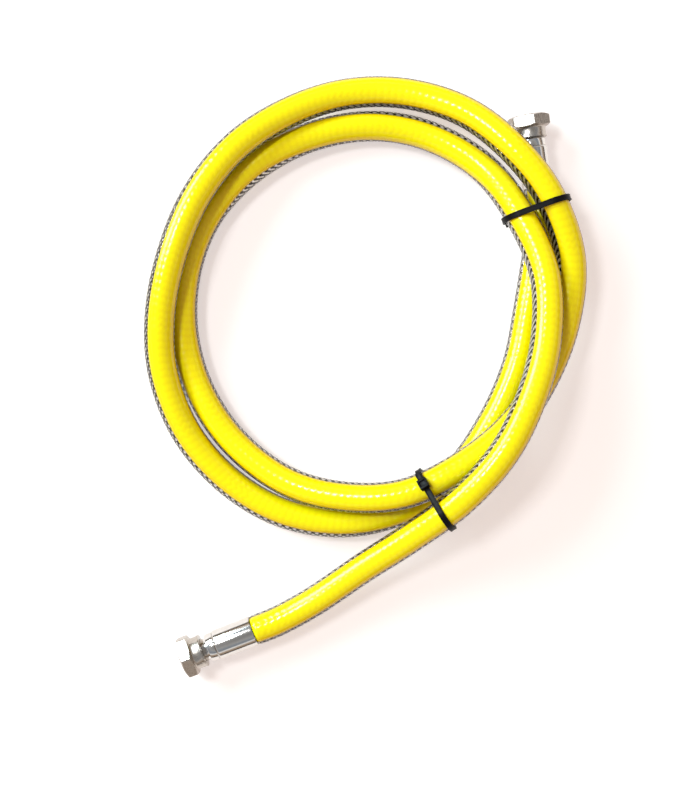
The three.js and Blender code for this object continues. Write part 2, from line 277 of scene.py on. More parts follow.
class Wiring:
    """Adds nodes to a tree and joins them."""

    def __init__(self, tree):
        self.tree = tree

    def node(self, kind, settings=None, **inputs):
        made = self.tree.nodes.new(kind)
        for key, value in (settings or {}).items():
            setattr(made, key, value)
        for key, value in inputs.items():
            self.feed(made.inputs[key.replace("_", " ")], value)
        return made

    def feed(self, socket, value):
        if isinstance(value, bpy.types.NodeSocket):
            self.tree.links.new(value, socket)
        else:
            socket.default_value = value

    def math(self, operation, *values):
        made = self.tree.nodes.new("ShaderNodeMath")
        made.operation = operation
        for socket, value in zip(made.inputs, values):
            self.feed(socket, value)
        return made.outputs[0]

    def vector(self, operation, *values):
        made = self.tree.nodes.new("ShaderNodeVectorMath")
        made.operation = operation
        for socket, value in zip(made.inputs, values):
            self.feed(socket, value)
        return made.outputs["Value"] if operation == "LENGTH" else made.outputs[0]

    def scaled(self, vector, factor):
        made = self.tree.nodes.new("ShaderNodeVectorMath")
        made.operation = "SCALE"
        self.feed(made.inputs[0], vector)
        self.feed(made.inputs["Scale"], factor)
        return made.outputs[0]


KINDS = {
    "float": "NodeSocketFloat",
    "int": "NodeSocketInt",
    "vector": "NodeSocketVector",
    "geometry": "NodeSocketGeometry",
    "material": "NodeSocketMaterial",
}


def new_tree(name, kind, inputs, outputs):
    """A node group with its sockets: the tree, its wiring, what it is given and what it gives."""
    tree = bpy.data.node_groups.new(name, kind)
    for label, socket_kind, value in inputs:
        socket = tree.interface.new_socket(label, in_out="INPUT", socket_type=KINDS[socket_kind])
        if value is not None:
            socket.default_value = value
    for label, socket_kind in outputs:
        tree.interface.new_socket(label, in_out="OUTPUT", socket_type=KINDS[socket_kind])
    given = tree.nodes.new("NodeGroupInput").outputs
    out = tree.nodes.new("NodeGroupOutput").inputs
    return tree, Wiring(tree), given, out


def grown_mesh(tree, source, values):
    """The plain mesh that a geometry tree makes from a source object."""
    modifier = source.modifiers.new("tree", "NODES")
    modifier.node_group = tree
    for item in tree.interface.items_tree:
        if item.in_out == "INPUT" and item.name in values:
            modifier[item.identifier] = values[item.name]
    graph = bpy.context.evaluated_depsgraph_get()
    mesh = bpy.data.meshes.new_from_object(source.evaluated_get(graph))
    source.modifiers.remove(modifier)
    return mesh


def round_curve_tree():
    """Where a point lies round a curve, from its share of the length, its angle and its radius."""
    tree, w, given, out = new_tree(
        "round_the_hose", "GeometryNodeTree",
        [
            ("Line", "geometry", None), ("Share", "float", 0.0),
            ("Angle", "float", 0.0), ("Radius", "float", 0.01),
        ],
        [("Position", "vector")],
    )
    sample = w.node("GeometryNodeSampleCurve", {"mode": "FACTOR", "use_all_curves": True})
    w.feed(sample.inputs["Curves"], given["Line"])
    w.feed(sample.inputs["Factor"], given["Share"])
    across = w.vector("CROSS_PRODUCT", sample.outputs["Tangent"], sample.outputs["Normal"])
    spoke = w.vector(
        "ADD",
        w.scaled(sample.outputs["Normal"], w.math("COSINE", given["Angle"])),
        w.scaled(across, w.math("SINE", given["Angle"])),
    )
    reach = w.scaled(spoke, given["Radius"])
    w.feed(out["Position"], w.vector("ADD", sample.outputs["Position"], reach))
    return tree


round_the_hose = round_curve_tree()


SEAM_WELD = 1e-7


def unit_grid(w, given, sides):
    """A flat grid one metre square, which a tree then wraps round the hose."""
    return w.node(
        "GeometryNodeMeshGrid", Size_X=1.0, Size_Y=1.0,
        Vertices_X=given["Stations"], Vertices_Y=given[sides],
    ).outputs["Mesh"]


def grid_place(w):
    """A grid point's share of the length, and its angle round the section."""
    here = w.node("GeometryNodeInputPosition").outputs[0]
    spot = w.node("ShaderNodeSeparateXYZ", Vector=here).outputs
    share = w.math("ADD", spot["X"], 0.5)
    angle = w.math("MULTIPLY", w.math("ADD", spot["Y"], 0.5), TURN)
    return share, angle


def wrapped_grid(w, given, grid, share, angle, radius):
    """Lays a grid round the hose, closes its seam, smooths it and gives it its material."""
    wrap = w.node("GeometryNodeGroup", {"node_tree": round_the_hose})
    places = {"Line": given["Line"], "Share": share, "Angle": angle, "Radius": radius}
    for label, value in places.items():
        w.feed(wrap.inputs[label], value)
    moved = w.node("GeometryNodeSetPosition", Geometry=grid, Position=wrap.outputs[0])
    closed = w.node("GeometryNodeMergeByDistance", Geometry=moved.outputs[0], Distance=SEAM_WELD)
    smooth = w.node("GeometryNodeSetShadeSmooth", Geometry=closed.outputs[0])
    painted = w.node("GeometryNodeSetMaterial", Geometry=smooth.outputs[0])
    w.feed(painted.inputs["Material"], given["Material"])
    return painted.outputs[0]


def braid_tree():
    """Flat strands laid round the hose one way, which pass over two and under two of the others."""
    tree, w, given, out = new_tree(
        "wire_braid", "GeometryNodeTree",
        [
            ("Line", "geometry", None), ("Strands", "int", 12), ("Stations", "int", 100),
            ("Strand Sides", "int", 7), ("Lead", "float", 0.05), ("Radius", "float", 0.007),
            ("Half Width", "float", 0.001), ("Half Thickness", "float", 0.0002),
            ("Weave", "float", 0.0001), ("Way", "float", 1.0), ("Material", "material", None),
        ],
        [("Geometry", "geometry")],
    )
    length = w.node("GeometryNodeCurveLength", Curve=given["Line"]).outputs[0]
    starts = w.node(
        "GeometryNodeMeshLine", {"mode": "OFFSET"}, Count=given["Strands"], Offset=(0, 0, 0),
    )
    numbered = w.node(
        "GeometryNodeStoreNamedAttribute", {"data_type": "INT", "domain": "POINT"},
        Geometry=starts.outputs[0], Name="strand",
        Value=w.node("GeometryNodeInputIndex").outputs[0],
    )
    copies = w.node(
        "GeometryNodeInstanceOnPoints",
        Points=numbered.outputs[0], Instance=unit_grid(w, given, "Strand Sides"),
    )
    real = w.node("GeometryNodeRealizeInstances", Geometry=copies.outputs[0])
    number = w.node(
        "GeometryNodeInputNamedAttribute", {"data_type": "INT"}, Name="strand",
    ).outputs[0]
    share, round_strand = grid_place(w)
    along = w.math("MULTIPLY", share, length)
    turns = w.math("MULTIPLY", w.math("DIVIDE", along, given["Lead"]), given["Way"])
    first = w.math("DIVIDE", number, given["Strands"])
    spread = w.math("MULTIPLY", w.math("COSINE", round_strand), given["Half Width"])
    lean = w.math("DIVIDE", spread, given["Radius"])
    angle = w.math("ADD", w.math("MULTIPLY", w.math("ADD", first, turns), TURN), lean)
    passed = w.math("MULTIPLY", w.math("MULTIPLY", turns, given["Strands"]), 2)
    crossing = w.math("ADD", passed, w.math("MULTIPLY", number, 2))
    quarter = w.math("MULTIPLY", crossing, math.pi / 2)
    wave = w.math("SINE", w.math("ADD", quarter, math.pi / 4))
    weave = w.math("MULTIPLY", w.math("MULTIPLY", wave, given["Weave"]), given["Way"])
    proud = w.math("MULTIPLY", w.math("SINE", round_strand), given["Half Thickness"])
    radius = w.math("ADD", given["Radius"], w.math("ADD", weave, proud))
    strands = wrapped_grid(w, given, real.outputs[0], share, angle, radius)
    w.feed(out["Geometry"], strands)
    return tree


def corrugated_tree():
    """A tube of rounded rings along the hose."""
    tree, w, given, out = new_tree(
        "corrugated_tube", "GeometryNodeTree",
        [
            ("Line", "geometry", None), ("Stations", "int", 100), ("Sides", "int", 17),
            ("Radius", "float", 0.0066), ("Ring Pitch", "float", 0.0045),
            ("Ring Depth", "float", 0.0003), ("Material", "material", None),
        ],
        [("Geometry", "geometry")],
    )
    length = w.node("GeometryNodeCurveLength", Curve=given["Line"]).outputs[0]
    share, angle = grid_place(w)
    rings = w.math("DIVIDE", w.math("MULTIPLY", share, length), given["Ring Pitch"])
    ripple = w.math("COSINE", w.math("MULTIPLY", rings, TURN))
    radius = w.math("ADD", given["Radius"], w.math("MULTIPLY", ripple, given["Ring Depth"]))
    tube = wrapped_grid(w, given, unit_grid(w, given, "Sides"), share, angle, radius)
    w.feed(out["Geometry"], tube)
    return tree


# Shader groups and materials

def ranged(w, value, low, high, out_low, out_high):
    """A value carried smoothly from one range to another."""
    made = w.node("ShaderNodeMapRange", {"interpolation_type": "SMOOTHSTEP"})
    for socket, given in zip(made.inputs, (value, low, high, out_low, out_high)):
        w.feed(socket, given)
    return made.outputs[0]


def unwrapped(w, layer):
    """A mesh's own unwrapping, as its two directions."""
    run = w.node("ShaderNodeUVMap", {"uv_map": layer}).outputs[0]
    return w.node("ShaderNodeSeparateXYZ", Vector=run).outputs


def hose_relief_group():
    """The print of the braid under the jacket, from the jacket's own unwrapping."""
    tree, w, given, out = new_tree(
        "braid_relief", "ShaderNodeTree",
        [("Cells Along", "float", 424.0), ("Cells Round", "float", 12.0)],
        [("Height", "float"), ("From Centre", "float")],
    )
    spot = unwrapped(w, "hose_run")
    along = w.math("MULTIPLY", spot["X"], given["Cells Along"])
    round_it = w.math("MULTIPLY", spot["Y"], given["Cells Round"])
    one_way = w.math("COSINE", w.math("MULTIPLY", w.math("ADD", along, round_it), TURN))
    other_way = w.math("COSINE", w.math("MULTIPLY", w.math("SUBTRACT", along, round_it), TURN))
    weave = w.math("MULTIPLY", w.math("ADD", one_way, other_way), 0.5)
    leaning = w.math("ADD", along, w.math("MULTIPLY", round_it, 0.12))
    combs = w.math("COSINE", w.math("MULTIPLY", leaning, TURN))
    cloud = w.node(
        "ShaderNodeTexNoise", {"noise_dimensions": "1D"}, W=w.math("MULTIPLY", spot["X"], 13.0),
    )
    woven = ranged(w, cloud.outputs[0], 0.52, 0.66, 0.12, 0.5)
    height = w.math("ADD", w.math("MULTIPLY", weave, woven), w.math("MULTIPLY", combs, 0.34))
    w.feed(out["Height"], w.math("ADD", w.math("MULTIPLY", height, 0.5), 0.5))
    w.feed(out["From Centre"], w.math("ABSOLUTE", w.math("SUBTRACT", spot["Y"], 0.5)))
    return tree


def fine_wear_group():
    """Faint scuffs and handling marks, as a mask and a height."""
    tree, w, given, out = new_tree(
        "fine_wear", "ShaderNodeTree",
        [("Scale", "float", 200.0)],
        [("Mask", "float"), ("Height", "float")],
    )
    where = w.node("ShaderNodeTexCoord").outputs["Object"]
    cloudy = w.node(
        "ShaderNodeTexNoise", Vector=where, Scale=given["Scale"], Detail=4.0, Roughness=0.6,
    )
    finer = w.math("MULTIPLY", given["Scale"], 9.0)
    fine = w.node("ShaderNodeTexNoise", Vector=where, Scale=finer, Detail=2.0)
    w.feed(out["Mask"], w.math("SMOOTH_MIN", w.math("MULTIPLY", cloudy.outputs[0], 1.2), 1.0, 0.2))
    w.feed(out["Height"], fine.outputs[0])
    return tree


def machined_marks_group():
    """Fine tool marks round or along a turned piece, from its own unwrapping."""
    tree, w, given, out = new_tree(
        "machined_marks", "ShaderNodeTree",
        [("Marks Round", "float", 6.0), ("Marks Along", "float", 90.0)],
        [("Mask", "float")],
    )
    spot = unwrapped(w, "turned_run")
    where = w.node(
        "ShaderNodeCombineXYZ",
        X=w.math("MULTIPLY", spot["X"], given["Marks Round"]),
        Y=w.math("MULTIPLY", spot["Y"], given["Marks Along"]),
    ).outputs[0]
    noise = w.node("ShaderNodeTexNoise", Vector=where, Scale=1.0, Detail=3.0, Roughness=0.65)
    w.feed(out["Mask"], noise.outputs[0])
    return tree


braid_relief = hose_relief_group()
fine_wear = fine_wear_group()
machined_marks = machined_marks_group()


def new_material(name, color, roughness, metallic=0.0, **sockets):
    """A material with its wiring and its shader, which holds the constant values."""
    material = bpy.data.materials.new(name)
    material.use_nodes = True
    shader = material.node_tree.nodes["Principled BSDF"]
    shader.inputs["Base Color"].default_value = (*color, 1.0)
    shader.inputs["Roughness"].default_value = roughness
    shader.inputs["Metallic"].default_value = metallic
    for key, value in sockets.items():
        shader.inputs[key.replace("_", " ")].default_value = value
    return material, Wiring(material.node_tree), shader


def mixed(w, factor, first, second):
    """One colour carried over into another."""
    mix = w.node("ShaderNodeMix", {"data_type": "RGBA"})
    w.feed(mix.inputs[0], factor)
    w.feed(mix.inputs[6], first)
    w.feed(mix.inputs[7], second)
    return mix.outputs[2]


def bumped(w, shader, height, strength, distance):
    """Gives a shader the fine relief of a height."""
    bump = w.node("ShaderNodeBump", Height=height, Strength=strength, Distance=distance)
    w.feed(shader.inputs["Normal"], bump.outputs[0])


def wear_node(w, scale):
    """The mask and height of fine wear at one scale."""
    return w.node("ShaderNodeGroup", {"node_tree": fine_wear}, Scale=scale).outputs


def jacket_yellow_material():
    """Glossy yellow plastic with painted shade: oranger towards the band's edges and underside, and
    darker in the dips of the braid's relief.
    """
    material, w, shader = new_material(
        "yellow_jacket", (0.95, 0.9, 0.002), 0.15, IOR=1.5, Specular_IOR_Level=0.45,
    )
    relief = w.node("ShaderNodeGroup", {"node_tree": braid_relief}).outputs
    wear = wear_node(w, 60.0)
    # Painted shade: the yellow turns orange towards the band's edges, where the hose's sides and
    # underside fall into shade
    edge = ranged(w, relief["From Centre"], 0.075, YELLOW_HALF / 360, 0.0, 1.0)
    lit = mixed(w, wear["Mask"], (0.95, 0.88, 0.001, 1), (0.96, 0.93, 0.002, 1))
    side_shaded = mixed(w, edge, lit, (0.88, 0.66, 0.001, 1))
    # Painted shade: the yellow darkens a little in the dips of the braid's relief
    relief_dip_shade = ranged(w, relief["Height"], 0.3, 0.6, 0.09, 0.0)
    w.feed(shader.inputs["Base Color"], mixed(w, relief_dip_shade, side_shaded, (0.62, 0.4, 0.0, 1)))
    w.feed(shader.inputs["Roughness"], ranged(w, wear["Mask"], 0.3, 0.9, 0.12, 0.22))
    bumped(w, shader, relief["Height"], 0.6, 0.0003)
    return material


def jacket_clear_material():
    """Clear soft plastic that the braid shows through."""
    material, w, shader = new_material(
        "clear_jacket", (0.98, 0.95, 0.92), 0.07, IOR=1.42, Transmission_Weight=1.0,
    )
    relief = w.node("ShaderNodeGroup", {"node_tree": braid_relief}).outputs
    bumped(w, shader, relief["Height"], 0.3, 0.00015)
    return material


def wire_material(name, color):
    """Drawn wire with an uneven sheen."""
    material, w, shader = new_material(name, color, 0.34, 1.0)
    wear = wear_node(w, 900.0)
    w.feed(shader.inputs["Roughness"], ranged(w, wear["Mask"], 0.3, 0.9, 0.28, 0.46))
    bumped(w, shader, wear["Height"], 0.3, 0.0001)
    return material


def tube_material():
    """Thin rolled steel, painted near black as the shade deep inside the hose."""
    material, w, shader = new_material("tube_steel_painted_shade", (0.03, 0.028, 0.026), 0.5, 1.0)
    wear = wear_node(w, 500.0)
    w.feed(shader.inputs["Roughness"], ranged(w, wear["Mask"], 0.3, 0.9, 0.42, 0.6))
    return material


def steel_material(name, color, dull, rough_low, rough_high, marks_round, marks_along):
    """Machined steel, whose tool marks follow the turned or milled surface."""
    material, w, shader = new_material(name, color, rough_low, 1.0)
    marks = w.node(
        "ShaderNodeGroup", {"node_tree": machined_marks},
        Marks_Round=marks_round, Marks_Along=marks_along,
    ).outputs["Mask"]
    wear = wear_node(w, 350.0)
    w.feed(shader.inputs["Base Color"], mixed(w, wear["Mask"], (*color, 1), (*dull, 1)))
    w.feed(shader.inputs["Roughness"], ranged(w, marks, 0.3, 0.75, rough_low, rough_high))
    bumped(w, shader, marks, 0.12, 0.00003)
    return material


def dark_material(name, color, roughness, scale, strength):
    """Black rubber or nylon with a fine grain."""
    material, w, shader = new_material(name, color, roughness, Specular_IOR_Level=0.12)
    wear = wear_node(w, scale)
    low, high = roughness - 0.1, roughness + 0.1
    w.feed(shader.inputs["Roughness"], ranged(w, wear["Mask"], 0.3, 0.9, low, high))
    bumped(w, shader, wear["Height"], strength, 0.0001)
    return material


yellow = jacket_yellow_material()
clear = jacket_clear_material()
# Two copies of one steel wire: painted highlight on one and painted shade on the other, for how the
# two ways of the braid catch the light
wire_painted_highlight = wire_material("wire_painted_highlight", (0.92, 0.9, 0.87))
wire_painted_shade = wire_material("wire_painted_shade", (0.1, 0.095, 0.09))
# The tube's steel is painted near black as shade inside the hose
corrugated = tube_material()
polished = steel_material(
    "polished_steel", (0.8, 0.79, 0.77), (0.7, 0.67, 0.63), 0.09, 0.2, 6.0, 90.0,
)
satin = steel_material(
    "satin_steel", (0.6, 0.56, 0.51), (0.5, 0.45, 0.4), 0.22, 0.4, 160.0, 6.0,
)
rubber = dark_material("washer_rubber", (0.02, 0.02, 0.02), 0.6, 900.0, 0.4)
nylon = dark_material("tie_nylon", (0.004, 0.004, 0.005), 0.42, 500.0, 0.12)


# Hose

def centreline_object():
    """The hose's line as a curve, carried straight on into both ferrules."""
    start = line[0] - OVERHANG * headings[0]
    end = line[-1] + OVERHANG * headings[-1]
    points = [start] + line + [end]
    data = bpy.data.curves.new("hose_line", "CURVE")
    data.dimensions = "3D"
    spline = data.splines.new("POLY")
    spline.points.add(len(points) - 1)
    for spot, point in zip(spline.points, points):
        spot.co = (*point, 1)
    line_object = bpy.data.objects.new("hose_line", data)
    bpy.context.collection.objects.link(line_object)
    return line_object


BRAID_STRANDS = 12
BRAID_LEAD = 0.054
CROSSING_STEP = BRAID_LEAD / (2 * BRAID_STRANDS)
RING_PITCH = 0.0045
STEPS_PER_RING = 4

# Each way of the braid: its hand, half its strands' width and its wire, the right hand with painted
# highlight and the left hand with painted shade
BRAID_WAYS = [
    ("braid_right_hand", 1.0, 0.00082, wire_painted_highlight),
    ("braid_left_hand", -1.0, 0.0005, wire_painted_shade),
]

centreline = centreline_object()
full_length = hose_length + 2 * OVERHANG
braid_stations = round(full_length / CROSSING_STEP) + 1
braid = braid_tree()
braid_pieces = []
strand_lean = math.cos(math.atan(TURN * BRAID_RADIUS / BRAID_LEAD))
for name, way, half_width, wire in BRAID_WAYS:
    mesh = grown_mesh(braid, centreline, {
        "Strands": BRAID_STRANDS, "Stations": braid_stations, "Strand Sides": 7,
        "Lead": BRAID_LEAD, "Radius": BRAID_RADIUS,
        "Half Width": half_width / strand_lean,
        "Half Thickness": 0.00012, "Weave": 0.00014, "Way": way, "Material": wire,
    })
    braid_pieces.append(place(name, outward(mesh), wire, "hose"))
tube_mesh = grown_mesh(corrugated_tree(), centreline, {
    "Stations": round(full_length / (RING_PITCH / STEPS_PER_RING)) + 1, "Sides": 15,
    "Radius": TUBE_RADIUS, "Ring Pitch": RING_PITCH, "Ring Depth": 0.00018,
    "Material": corrugated,
})
tube_piece = place("ringed_tube", outward(tube_mesh), corrugated, "hose")
bpy.data.objects.remove(centreline)

yellow_sectors = [(-YELLOW_HALF, YELLOW_HALF), (CLEAR_END, 360 - CLEAR_END)]
clear_sectors = [
    (YELLOW_HALF + SEAM, CLEAR_END - SEAM), (-CLEAR_END + SEAM, -YELLOW_HALF - SEAM),
]
yellow_mesh = sector_mesh("jacket_yellow", yellow_sectors, 14, 6, JACKET_BORE_RADIUS)
yellow_piece = place("jacket_yellow", yellow_mesh, yellow, "hose")
clear_mesh = sector_mesh("jacket_clear", clear_sectors, 13, 7, CLEAR_FILLS_TO)
clear_piece = place("jacket_clear", clear_mesh, clear, "hose")
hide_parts("hose_jacket")
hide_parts("hose_jacket")
for piece in braid_pieces:
    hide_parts("wire_braid")
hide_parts("corrugated_tube")


# Fittings, each in a frame with +Y away from the hose

RING_SIDES = 96
NUT_SIDES = 240
UNWRAPPED_HEIGHT = 20


def end_frame(point, away):
    """A frame at an end of the hose, with +Y away from it and +Z as near upwards as that allows."""
    side = away.cross(UP).normalized()
    above = side.cross(away)
    matrix = Matrix.Identity(4)
    for column, axis in enumerate((side, away, above)):
        for row in range(3):
            matrix[row][column] = axis[row]
    matrix.translation = point
    return matrix


def ring_mesh(name, sides, profile_at, matrix):
    """A closed ring from profile_at, which gives radius and height in millimetres at an angle."""
    points, wraps, faces = [], [], []
    for side in range(sides):
        angle = TURN * side / sides
        profile = profile_at(angle)
        for radius, height in profile:
            spot = Vector((math.sin(angle) * radius, height, math.cos(angle) * radius))
            points.append(spot * MILLIMETRE)
            wraps.append((side / sides, height / UNWRAPPED_HEIGHT))
    count = len(profile)
    for side in range(sides):
        for n in range(count):
            a = side * count + n
            b = side * count + (n + 1) % count
            shift = count if side < sides - 1 else -side * count
            faces.append((a, b, b + shift, a + shift))
    mesh = mesh_from(name, points, faces)
    layer = mesh.uv_layers.new(name="turned_run")
    for loop in mesh.loops:
        layer.data[loop.index].uv = wraps[loop.vertex_index]
    mesh.transform(matrix)
    return outward(mesh)


def turned_mesh(name, profile, matrix):
    """A turned piece, with the same profile all the way round."""
    return ring_mesh(name, RING_SIDES, lambda angle: profile, matrix)


def smooth_by_angle(mesh, degrees=34):
    """Shades a mesh smooth, but leaves edges sharp that bend by more than some degrees."""
    mesh.shade_smooth()
    mesh.set_sharp_from_angle(angle=math.radians(degrees))
    return mesh


def ferrule_profile():
    """Smooth sleeve from 0.3 to 25.2, with a rolled mouth and a lip that closes on the spigot."""
    return [
        (7.9, 1.6), (9.05, 1.6), (9.15, 0.5), (9.3, 0.3), (9.45, 0.32), (9.58, 0.55), (9.6, 0.9),
        (9.6, 24.3), (9.5, 24.85), (9.2, 25.2), (7.2, 25.2), (7.2, 23.7), (7.9, 23.7),
    ]


def tail_profile():
    """Spigot inside the hose, shoulder behind the ferrule, neck, and flange under the washer."""
    return [
        (4.9, 5.4), (5.3, 5.4), (5.79, 5.9), (5.79, 23.4), (6.9, 23.4), (6.9, 25.5), (8.7, 25.5),
        (9.0, 25.8), (9.0, 29.9), (8.7, 30.4), (7.1, 30.5), (6.9, 30.8), (6.9, 41.8),
        (9.0, 41.8), (9.0, 43.0), (5.3, 43.0), (4.9, 42.6),
    ]


def washer_profile():
    """A flat ring with softened edges."""
    return [
        (5.5, 0.2), (5.7, 0.0), (8.8, 0.0), (9.0, 0.2),
        (9.0, 1.8), (8.8, 2.0), (5.7, 2.0), (5.5, 1.8),
    ]


# The union nut in millimetres, from its collar's end
NUT_LENGTH = 14.2
NUT_COLLAR = 6.6
HALF_FLATS = 12.0
HEX_CORNER = 13.7
HEX_FACE = 11.3
NECK_HOLE = 7.2
MOUTH_RADIUS = 10.3
THREAD_START = 0.9
THREAD_END = 6.3
THREAD_CREST = 9.3
THREAD_DEPTH = 0.85
THREAD_PITCH = 1.814
THREAD_ROWS = 30
THREAD_FADE = 3
NUT_FLOOR = 7.4


def thread_rows(angle):
    """The inner thread, as rows from the nut's mouth to its floor."""
    top, floor = NUT_LENGTH - THREAD_START, NUT_LENGTH - THREAD_END
    for row in range(THREAD_ROWS + 1):
        height = top + (floor - top) * row / THREAD_ROWS
        turn = (height / THREAD_PITCH - angle / TURN) % 1
        ends = min(1.0, row / THREAD_FADE, (THREAD_ROWS - row) / THREAD_FADE)
        yield THREAD_CREST + THREAD_DEPTH * ends * abs(2 * turn - 1), height


def nut_profile(angle):
    """A collar and a chamfered hexagon, hollow for the neck and threaded at its mouth."""
    within = math.degrees(angle) % 60 - 30
    reach = min(HALF_FLATS / math.cos(math.radians(within)), HEX_CORNER)
    slope = (reach - HEX_FACE) * 0.5
    collar = [
        (NECK_HOLE, 0.3), (7.5, 0.0), (9.5, 0.0), (10.15, 0.15), (10.3, 0.5), (10.25, 0.9),
        (9.95, 1.5), (9.9, 5.2), (10.0, 5.9), (10.4, 6.4), (10.9, NUT_COLLAR),
    ]
    hexagon = [
        (HEX_FACE, NUT_COLLAR), (reach, NUT_COLLAR + slope), (reach, NUT_LENGTH - slope),
        (HEX_FACE, NUT_LENGTH), (10.5, NUT_LENGTH), (MOUTH_RADIUS, NUT_LENGTH - 0.15),
    ]
    back = [(THREAD_CREST, NUT_FLOOR), (NECK_HOLE, NUT_FLOOR)]
    return collar + hexagon + list(thread_rows(angle)) + back


# Metres from the hose's end to the washer and to a nut, how far each nut is slid back, and how
# many degrees it is turned
WASHER_SEAT = 0.0433
NUT_START = 0.0341
NUT_SLID_BACK = {"lower_left": 0.0, "upper_right": 0.003}
NUT_TURN = {"lower_left": 0, "upper_right": 8}


def make_fitting(end, point, away):
    """Sleeve, tailpiece, washer and nut at one end. Returns those that the hose carries."""
    to_end = end_frame(point, away)
    seat = to_end @ Matrix.Translation((0, WASHER_SEAT, 0))
    turned_pieces = (
        ("crimped_sleeve", ferrule_profile(), to_end, polished, "polished_steel", "ferrule"),
        ("turned_tail", tail_profile(), to_end, polished, "polished_steel", "tailpiece"),
        ("rubber_seal", washer_profile(), seat, rubber, "washer_rubber", "sealing_washer"),
    )
    carried = []
    for name, profile, where, material, slot, node in turned_pieces:
        mesh = smooth_by_angle(turned_mesh(name, profile, where))
        piece = place(f"{name}_{end}", mesh, material, "hose", smooth=False)
        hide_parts(f"{node}_{end}")
        carried.append(piece)
    nut_seat = to_end @ Matrix.Translation((0, NUT_START - NUT_SLID_BACK[end], 0))
    nut_seat = nut_seat @ Matrix.Rotation(math.radians(NUT_TURN[end]), 4, "Y")
    nut = smooth_by_angle(ring_mesh("nut", NUT_SIDES, nut_profile, nut_seat))
    nut = place(f"hex_nut_{end}", nut, satin, f"nut_{end}", smooth=False)
    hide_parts(f"union_nut_{end}")
    return carried


hose_fittings = make_fitting("lower_left", line[0], -headings[0])
hose_fittings += make_fitting("upper_right", line[-1], headings[-1])


# Cable ties, each round the strands that lie nearest, in metres

STRANDS_HELD = 3
TIE_WIDTH = 0.0036
TIE_THICKNESS = 0.0013
TIE_CLEARANCE = 0.0004
HEAD_SIZE = (0.0066, 0.0044, 0.006)
STUB_LENGTH = 0.008
STUB_RISE = 0.0016
TOOTH_PITCH = 0.0006
TOOTH_DEPTH = 0.00022

# Each tie's place as a share of the hose's length, the angle that its head faces in degrees,
# and where the head sits on the strap's straight run there
TIES = [("cable_tie_lower", 0.0749, 62, 0.1), ("cable_tie_right", 0.1841, -41, 0.6)]


def strands_through(centre, normal):
    """The nearest strands that cross a plane, as points and directions."""
    found = []
    for start, end in zip(line, line[1:]):
        before = (start - centre).dot(normal)
        after = (end - centre).dot(normal)
        if before * after > 0 or before == after:
            continue
        point = start.lerp(end, before / (before - after))
        way = (end - start).normalized()
        found.append((point, -way if way.dot(normal) < 0 else way))
    found.sort(key=lambda strand: (strand[0] - centre).length)
    return found[:STRANDS_HELD]


def tie_frame(along):
    """The tie's frame, with Z along the strands and Y upwards, and the strands in it."""
    place_on_line = along * (len(line) - 1)
    station = int(place_on_line)
    centre = line[station].lerp(line[station + 1], place_on_line - station)
    normal = headings[station]
    for _ in range(4):
        normal = sum((way for _, way in strands_through(centre, normal)), Vector()).normalized()
    across = UP.cross(normal).normalized()
    matrix = Matrix((across, normal.cross(across), normal)).transposed().to_4x4()
    matrix.translation = centre
    return matrix, strands_through(centre, normal)


def strand_outline(point, way, to_tie, steps):
    """Where a strand's skin meets both edges of the strap, seen along the tie's axis."""
    side = way.cross(UP).normalized()
    above = side.cross(way)
    slide = to_tie.to_3x3() @ way
    for step in range(steps):
        angle = TURN * step / steps
        skin = to_tie @ (point + HOSE_RADIUS * (math.cos(angle) * side + math.sin(angle) * above))
        for level in (-TIE_WIDTH / 2, TIE_WIDTH / 2):
            yield (skin + slide * ((level - skin.z) / slide.z)).to_2d()


def hull_of(points):
    """The smallest convex loop round some points, counter-clockwise."""
    ordered = sorted(points, key=lambda point: (point.x, point.y))

    def half(run):
        kept = []
        for point in run:
            while len(kept) > 1 and (kept[-1] - kept[-2]).cross(point - kept[-1]) <= 0:
                kept.pop()
            kept.append(point)
        return kept[:-1]

    return half(ordered) + half(ordered[::-1])


def grown(loop, distance):
    """A convex loop moved outward by one distance on every side."""
    runs = [(after - point).normalized() for point, after in zip(loop, loop[1:] + loop[:1])]
    facings = [Vector((run.y, -run.x)) for run in runs]
    moved = []
    for index, point in enumerate(loop):
        before, after = facings[index - 1], facings[index]
        moved.append(point + (before + after) * (distance / (1 + before.dot(after))))
    return moved


def strap_line(strands, to_tie, steps):
    """The strap's inner side: the shortest loop round all strands, with its clearance."""
    outline = []
    for point, way in strands:
        outline += strand_outline(point, way, to_tie, steps)
    return grown(hull_of(outline), TIE_CLEARANCE)


def evenly(loop, step):
    """Points at one spacing round a closed loop."""
    ends = loop[1:] + loop[:1]
    lengths = [(end - start).length for start, end in zip(loop, ends)]
    count = 2 * round(sum(lengths) / step / 2)
    spacing = sum(lengths) / count
    points, passed, index = [], 0.0, 0
    for n in range(count):
        while passed + lengths[index] < n * spacing:
            passed += lengths[index]
            index += 1
        points.append(loop[index].lerp(ends[index], (n * spacing - passed) / lengths[index]))
    return points


def strap_section(tooth):
    """The strap's section: raised rims outside and teeth inside, as pairs of height and width."""
    edge, rim = TIE_WIDTH / 2, 0.00028
    top = TIE_THICKNESS
    half = [
        (tooth, edge - 0.0007), (0.0, edge - 0.0006), (0.0, edge - 0.0002), (0.0002, edge),
        (top - 0.0002, edge), (top, edge - 0.0002), (top, edge - rim - 0.0002),
        (top - 0.0002, edge - rim - 0.0005),
    ]
    return [(height, -width) for height, width in half] + half[::-1]


